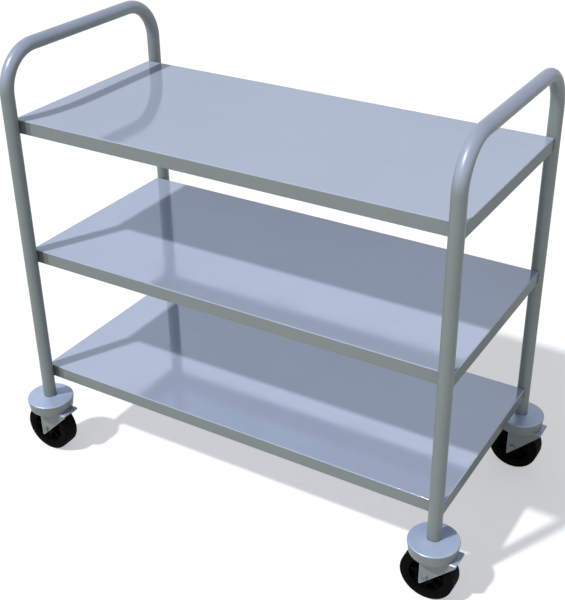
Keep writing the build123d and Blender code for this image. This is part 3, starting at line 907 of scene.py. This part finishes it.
@dataclass
class Castor:
    """The swivel castor: pressed head and fork, moulded wheel, axle bolt and nut.

    It is modelled once, with the leg's axis on the Z axis, and copied to each corner. Each line is a
    profile in millimetres: radius and height for head and crown, and radius and distance from the
    wheel's middle for wheel centre and tyre. Each ring gives two radii between which a pressing is
    level or nearly so. hexagon_tip and hexagon_rim are shares of the hexagon's outer radius.
    """

    axle_trail: float = 4.0 * MM
    axle_height: float = 50.0 * MM
    axle_hole: float = 3.2 * MM
    axle_segments: int = 40
    edge_break: float = 0.35 * MM

    head_line: Profile = ((6.02, 126.5), (14.0, 126.5), (46.0, 122.0), (42.6, 99.8))
    head_ring: Span = (20.0 * MM, 40.0 * MM)
    head_rounding: float = 3.0 * MM
    head_sheet: float = 2.0 * MM

    crown_line: Profile = ((7.06, 112.0), (14.5, 112.0), (14.5, 105.5), (36.0, 105.5), (36.0, 96.7))
    crown_ring: Span = (20.0 * MM, 30.0 * MM)
    crown_rounding: Point = (3.0 * MM, 0.5 * MM, 4.0 * MM)
    crown_opening: float = 34.2 * MM
    crown_opening_foot: float = 94.0 * MM
    crown_inside: float = 35.0 * MM
    crown_inside_foot: float = 90.0 * MM
    crown_ceiling: float = 103.8 * MM

    fork_plate: float = 2.5 * MM
    fork_half_width: float = 20.5 * MM
    fork_bend: float = 4.0 * MM
    leg_rear: float = 15.0 * MM
    leg_tip: float = 30.0 * MM
    leg_tip_radius: float = 2.5 * MM
    leg_top_foot: float = 92.0 * MM
    leg_top_inset: float = 0.03 * MM
    tongue_reach: float = 50.5 * MM
    tongue_top: float = 99.0 * MM
    tongue_corner: float = 5.0 * MM
    tongue_segments: int = 6
    plan_margin: float = 0.5 * MM

    core_line: Profile = ((7.0, 17.3), (14.0, 17.3), (14.0, 3.0), (33.0, 3.0), (33.0, 15.0), (38.0, 15.0),
                          (38.0, 4.0), (40.0, 4.0))
    core_break: float = 0.6 * MM
    rib_inner: float = 11.5 * MM
    rib_outer: float = 35.5 * MM
    rib_half_width: float = 11.0 * MM
    rib_thickness: float = 3.0 * MM
    rib_count: int = 8

    tyre_line: Profile = ((40.02, 4.02), (38.0, 4.02), (38.0, 16.5), (49.5, 16.5), (49.6, 14.0),
                          (49.9, 7.0), (50.0, 0.0))
    tyre_shoulder: float = 2.4 * MM
    tyre_steps: int = 128
    tread_radius: float = 49.0 * MM

    hexagon: float = 10.0 * MM
    hexagon_sides: int = 6
    hexagon_tip: float = 0.61
    hexagon_rim: float = 1.03
    hexagon_lead: float = 0.9 * MM
    hexagon_steps: int = 72
    joint_overlap: float = 1.0 * MM
    bolt_head: float = 4.0 * MM
    bolt_radius: float = 3.0 * MM
    bolt_tip: float = 27.7 * MM
    bolt_tip_break: float = 0.5 * MM
    nut_height: float = 5.0 * MM
    nut_bore: float = 3.02 * MM
    nut_collar: float = 4.3 * MM
    nut_collar_top: float = 26.7 * MM
    nut_collar_break: float = 0.6 * MM
    nut_collar_segments: int = 48

    @property
    def axle(self) -> Vector:
        """The middle of the axle."""
        return Vector((-self.axle_trail, 0, self.axle_height))

    def along_axle(self, start: float, stop: float) -> tuple[Vector, Vector]:
        """Two points of the axle's line, each by its distance from the wheel's middle."""
        return self.axle + Vector((0, start, 0)), self.axle + Vector((0, stop, 0))

    def about_axle(self, profile: Profile) -> list[Point]:
        """Takes a profile of radius and distance along the axle, in millimetres, to its place."""
        return [tuple(self.axle + Vector((radius, along, 0)) * MM) for radius, along in profile]

    @staticmethod
    def other_half(profile: Profile) -> Profile:
        """Goes back along a profile on the other side of the wheel's middle."""
        return tuple((radius, -along) for radius, along in reversed(profile))

    def head(self) -> bpy.types.Object:
        """Presses the head: a land under the leg, a shallow cone and a skirt.

        Returns:
            The head.
        """
        line = [(radius * MM, 0, height * MM) for radius, height in self.head_line]
        shell = Bench.line("castor_head", line, {1: self.head_rounding, 2: self.head_rounding})
        shell.turn(ORIGIN, UP)
        shell.face_out(lambda at: self.head_ring[0] < at.xy.length < self.head_ring[1], UP)
        return shell.wall(self.head_sheet).soften(self.edge_break).done()

    def crown(self) -> Bench:
        """Draws the fork's round crown.

        Returns:
            The crown.
        """
        line = [(radius * MM, 0, height * MM) for radius, height in self.crown_line]
        pan = Bench.line("crown", line, dict(enumerate(self.crown_rounding, 1))).turn(ORIGIN, UP)
        pan.face_out(lambda at: self.crown_ring[0] < at.xy.length < self.crown_ring[1], UP)
        return pan.wall(self.fork_plate)

    def crown_room(self, radius: float, foot: float) -> Bench:
        """Makes a solid of the room inside the crown, from a height up."""
        ends = ((0, 0, foot), (0, 0, self.crown_ceiling))
        return Bench.cylinder("crown_room", radius, ends, LATHE_STEPS)

    def upper_legs(self) -> list[Bench]:
        """Makes the tops of the legs, which stand inside the crown.

        Returns:
            The two plates.
        """
        plates = []
        outer, inner = self.fork_half_width - self.leg_top_inset, self.fork_half_width - self.fork_plate
        for side in (-1, 1):
            edges = sorted((side * outer, side * (inner + self.leg_top_inset)))
            plate = Bench.block(
                "upper_leg", (self.leg_top_inset - self.leg_rear, edges[0], self.leg_top_foot),
                (2 * self.crown_inside, edges[1], 2 * self.crown_ceiling))
            room = self.crown_room(self.crown_inside, self.crown_inside_foot)
            plates.append(plate.combine(Join.KEEP_COMMON, room))
        return plates

    def folded_plate(self) -> Bench:
        """Folds the legs and the tongue from one plate and cuts their slant.

        Returns:
            The plate.
        """
        side, top = self.fork_half_width, self.tongue_top
        line = [(-self.leg_rear, -side, 0), (-self.leg_rear, -side, top), (-self.leg_rear, side, top),
                (-self.leg_rear, side, 0)]
        plate = Bench.line("fork", line, {1: self.fork_bend, 2: self.fork_bend})
        plate.extrude((self.leg_rear + self.tongue_reach, 0, 0))
        slant = Vector((self.tongue_reach + self.leg_rear, 0, top - self.fork_plate - self.leg_tip))
        bpy.ops.mesh.select_all(action="SELECT")
        bpy.ops.mesh.bisect(plane_co=(-self.leg_rear, 0, self.leg_tip),
                            plane_no=(slant.z, 0, -slant.x), clear_outer=True)
        for leg_side in (-side, side):
            plate.round_corner((-self.leg_rear, leg_side, self.leg_tip), self.leg_tip_radius,
                               Vector((0, 0, -1)).angle(slant))
        plate.face_out(lambda at: abs(at.z - top) < NEAR, UP)
        return plate.wall(self.fork_plate)

    def fork(self) -> bpy.types.Object:
        """Rounds the tongue, opens the plate under the crown and joins leg tops and crown on.

        Returns:
            The fork.
        """
        reach, top = self.tongue_reach, self.tongue_top
        side = self.fork_half_width + self.plan_margin
        fork = self.folded_plate()
        plan = Bench.block("plan", (-reach, -side, 0), (reach, side, 2 * top))
        plan.pick(Pick.EDGES, lambda at: abs(at.x - reach) < NEAR and abs(at.z - top) < NEAR)
        plan.round_off(Rounding.EDGES, self.tongue_corner, self.tongue_segments)
        fork.combine(Join.KEEP_COMMON, plan)
        fork.soften(self.edge_break)
        fork.combine(Join.CUT, self.crown_room(self.crown_opening, self.crown_opening_foot))
        for plate in self.upper_legs():
            fork.combine(Join.ADD, plate)
        fork.combine(Join.ADD, self.crown())
        ends = self.along_axle(-2 * self.fork_half_width, 2 * self.fork_half_width)
        fork.combine(Join.CUT, Bench.cylinder("drill", self.axle_hole, ends, self.axle_segments))
        return fork.done()

    def core(self) -> bpy.types.Object:
        """Moulds the wheel centre: hub, web, rim and ribs on both sides.

        Returns:
            The wheel centre.
        """
        outline = self.about_axle(self.core_line + self.other_half(self.core_line))
        core = Bench.line("wheel_core", outline, closed=True).turn(self.axle, CROSSWAYS)
        for number in range(self.rib_count):
            rib = Bench.block("rib", (self.rib_inner, -self.rib_half_width, -self.rib_thickness / 2),
                              (self.rib_outer, self.rib_half_width, self.rib_thickness / 2)).to_floor()
            turn = Matrix.Rotation(FULL_TURN * number / self.rib_count, 4, "Y")
            rib.piece.data.transform(Matrix.Translation(self.axle) @ turn)
            core.combine(Join.ADD, rib)
        return core.soften(self.core_break).done()

    def tyre(self) -> bpy.types.Object:
        """Moulds the tyre and marks the tread, where it wears.

        Returns:
            The tyre.
        """
        outline = self.about_axle(self.tyre_line + self.other_half(self.tyre_line[:-1]))
        corners = {3: self.tyre_shoulder, len(outline) - 4: self.tyre_shoulder}
        tyre = Bench.line("tyre", outline, corners, closed=True)
        piece = tyre.turn(self.axle, CROSSWAYS, self.tyre_steps).done()
        wear = piece.data.attributes.new(TREAD_WEAR, "FLOAT", "POINT")
        for corner, value in zip(piece.data.vertices, wear.data):
            reach = corner.co - self.axle
            value.value = 1.0 if Vector((reach.x, 0, reach.z)).length > self.tread_radius else 0.0
        return piece

    def hexagon_blank(self, name: str, low: float, high: float, both: bool) -> Bench:
        """Makes a hexagon on the axle's line and breaks the corners of its ends on the lathe.

        Args:
            name: The name of the piece.
            low: Where it starts, from the wheel's middle.
            high: Where it ends.
            both: Whether both ends are broken, or only the lower one.

        Returns:
            The blank.
        """
        corner = self.hexagon / math.sqrt(3)
        blank = Bench.cylinder(name, corner, self.along_axle(low, high), self.hexagon_sides)
        tip, rim, lead = corner * self.hexagon_tip, corner * self.hexagon_rim, self.hexagon_lead
        outline = [(0, low - lead), (tip, low - lead), (rim, low + lead)]
        outline += [(rim, high - lead), (tip, high + lead)] if both else [(rim, high + lead)]
        outline.append((0, high + lead))
        points = self.about_axle(tuple((radius / MM, along / MM) for radius, along in outline))
        cone = Bench.line("chamfer", points, closed=True).turn(self.axle, CROSSWAYS, self.hexagon_steps)
        return blank.combine(Join.KEEP_COMMON, cone)

    def axle_bolt(self) -> bpy.types.Object:
        """Makes the bolt: a hexagon head and a shank with a broken tip.

        Returns:
            The bolt.
        """
        seat = -self.fork_half_width
        bolt = self.hexagon_blank("axle_bolt", seat - self.bolt_head, seat, both=False)
        ends = self.along_axle(seat - self.joint_overlap, self.bolt_tip)
        shank = Bench.cylinder("shank", self.bolt_radius, ends, self.axle_segments)
        return bolt.combine(Join.ADD, shank.soften(self.bolt_tip_break, segments=1)).done()

    def axle_nut(self) -> bpy.types.Object:
        """Makes the lock nut: a hexagon with a round collar.

        Returns:
            The nut.
        """
        seat = self.fork_half_width
        nut = self.hexagon_blank("axle_nut", seat, seat + self.nut_height, both=True)
        ends = self.along_axle(seat + self.joint_overlap, self.nut_collar_top)
        collar = Bench.cylinder("collar", self.nut_collar, ends, self.nut_collar_segments)
        nut.combine(Join.ADD, collar.soften(self.nut_collar_break, segments=3))
        bore = Bench.cylinder("bore", self.nut_bore, self.along_axle(0, 2 * seat), self.axle_segments)
        return nut.combine(Join.CUT, bore).done()

    def fit(self, finishes: Finishes) -> None:
        """Models each piece once, dresses it and copies it to the four corners.

        Args:
            finishes: The finishes, by material slot.
        """
        pieces = (("castor_head", self.head, "castor_steel", "frame"),
                  ("fork", self.fork, "castor_steel", "{}_swivel"),
                  ("axle_bolt", self.axle_bolt, "fastener_steel", "{}_swivel"),
                  ("axle_nut", self.axle_nut, "fastener_steel", "{}_swivel"),
                  ("wheel_core", self.core, "wheel_plastic", "{}_wheel"),
                  ("tyre", self.tyre, "tyre_rubber", "{}_wheel"))
        for kind, model, slot, body in pieces:
            pattern = model()
            for corner in Corner:
                node = f"{corner.label}_{kind}"
                mesh = pattern.data.copy()
                mesh.name = f"{node}_piece"
                mesh.transform(Matrix.Translation(corner.leg()))
                piece = bpy.data.objects.new(f"{node}_piece", mesh)
                bpy.context.scene.collection.objects.link(piece)
                stand_in(piece, finishes, body.format(corner.label), slot, node)
            bpy.data.objects.remove(pattern)


@dataclass
class Studio:
    """The plain studio: a pale floor, soft light from the front left, and the camera."""

    floor_size: float = 40.0
    floor_colour: Colour = (0.62, 0.62, 0.62, 1)
    floor_roughness: float = 0.9
    floor_lift: float = 0.42
    lamp_from: Point = (-0.264, -0.534, 0.803)
    lamp_spread: float = math.radians(2.5)
    lamp_power: float = 2.72
    horizon_light: float = 1.05
    zenith_light: float = 0.0
    fill_colour: Colour = (0.96, 0.985, 1.05, 1)
    camera_place: Point = (0.9327, -1.5099, 1.3796)
    camera_azimuth: float = math.radians(-29.91)
    camera_elevation: float = math.radians(29.67)
    camera_lens: float = 64.9
    camera_sensor: float = 36.0
    camera_shift: Span = (-0.0469, -0.0052)

    @staticmethod
    def seen_direct(sheet: Sheet) -> bpy.types.NodeSocket:
        """Makes the mask of rays that see the background itself, straight or in metal or glass."""
        ray = sheet.node("LightPath").outputs
        return sheet.math("MAXIMUM", ray["Is Transmission Ray"],
                          sheet.math("MAXIMUM", ray["Is Camera Ray"], ray["Is Glossy Ray"]))

    def lay_floor(self) -> None:
        """Lays the pale floor, lifted towards white where it is seen, so that it keeps the shadow."""
        Bench.clear()
        bpy.ops.mesh.primitive_plane_add(size=self.floor_size)
        floor = bpy.context.view_layer.objects.active
        floor.name = "studio_floor"
        material, sheet, shader = start_material("pale_floor")
        lift = sheet.math("MULTIPLY", self.seen_direct(sheet), self.floor_lift)
        sheet.feed(shader, {
            "Base Color": self.floor_colour, "Roughness": self.floor_roughness, "Specular IOR Level": 0.0,
            "Emission Color": WHITE, "Emission Strength": lift})
        dress(floor, material)

    def light(self) -> None:
        """Sets the lamp, and the light all round that fades from the horizon to the zenith."""
        lamp = bpy.data.lights.new("soft_lamp", "SUN")
        lamp.angle = self.lamp_spread
        lamp.energy = self.lamp_power
        holder = bpy.data.objects.new("soft_lamp", lamp)
        holder.location = self.lamp_from
        holder.rotation_euler = Vector(self.lamp_from).to_track_quat("Z", "Y").to_euler()
        bpy.context.scene.collection.objects.link(holder)
        world = bpy.data.worlds.new("studio")
        world.use_nodes = True
        sheet = Sheet(world.node_tree)
        height = sheet.node("SeparateXYZ", {0: sheet.node("TexCoord").outputs["Generated"]}).outputs[2]
        walls = sheet.node("MapRange", {0: height, 3: self.horizon_light, 4: self.zenith_light})
        seen = self.seen_direct(sheet)
        unseen = sheet.math("MULTIPLY", walls.outputs[0], sheet.math("SUBTRACT", 1.0, seen))
        sheet.feed(world.node_tree.nodes["Background"], {
            "Color": sheet.blend(seen, self.fill_colour, WHITE),
            "Strength": sheet.math("ADD", unseen, seen)})
        bpy.context.scene.world = world

    def set_camera(self) -> None:
        """Puts the camera at the photograph's place and angle."""
        data = bpy.data.cameras.new("photo_view")
        data.lens = self.camera_lens
        data.sensor_width = self.camera_sensor
        data.shift_x, data.shift_y = self.camera_shift
        camera = bpy.data.objects.new("photo_view", data)
        level = math.cos(self.camera_elevation)
        ahead = Vector((math.sin(self.camera_azimuth) * level, math.cos(self.camera_azimuth) * level,
                        -math.sin(self.camera_elevation)))
        camera.location = self.camera_place
        camera.rotation_euler = ahead.to_track_quat("-Z", "Y").to_euler()
        bpy.context.scene.collection.objects.link(camera)
        bpy.context.scene.camera = camera
        bpy.context.scene.view_settings.view_transform = "Standard"


def main() -> None:
    """Builds the sub-assemblies in order and sets up the studio."""
    logging.basicConfig(level=logging.INFO, format="%(message)s")
    effects = Effects()
    finishes = {slot: finish.make(effects) for slot, finish in FINISHES.items()}
    for row in frame["record"]["subparts"]:
        dress(frame["nodes"][row["node"]], finishes[row["material_slot"]])
    for side in ("left", "right"):
        EndFrame(side).fit(finishes)
    for tier, top in SHELF_TOPS.items():
        Shelf(tier, top).fit(finishes)
    Castor().fit(finishes)
    studio = Studio()
    studio.lay_floor()
    studio.light()
    studio.set_camera()


if __name__ == "__main__":
    main()
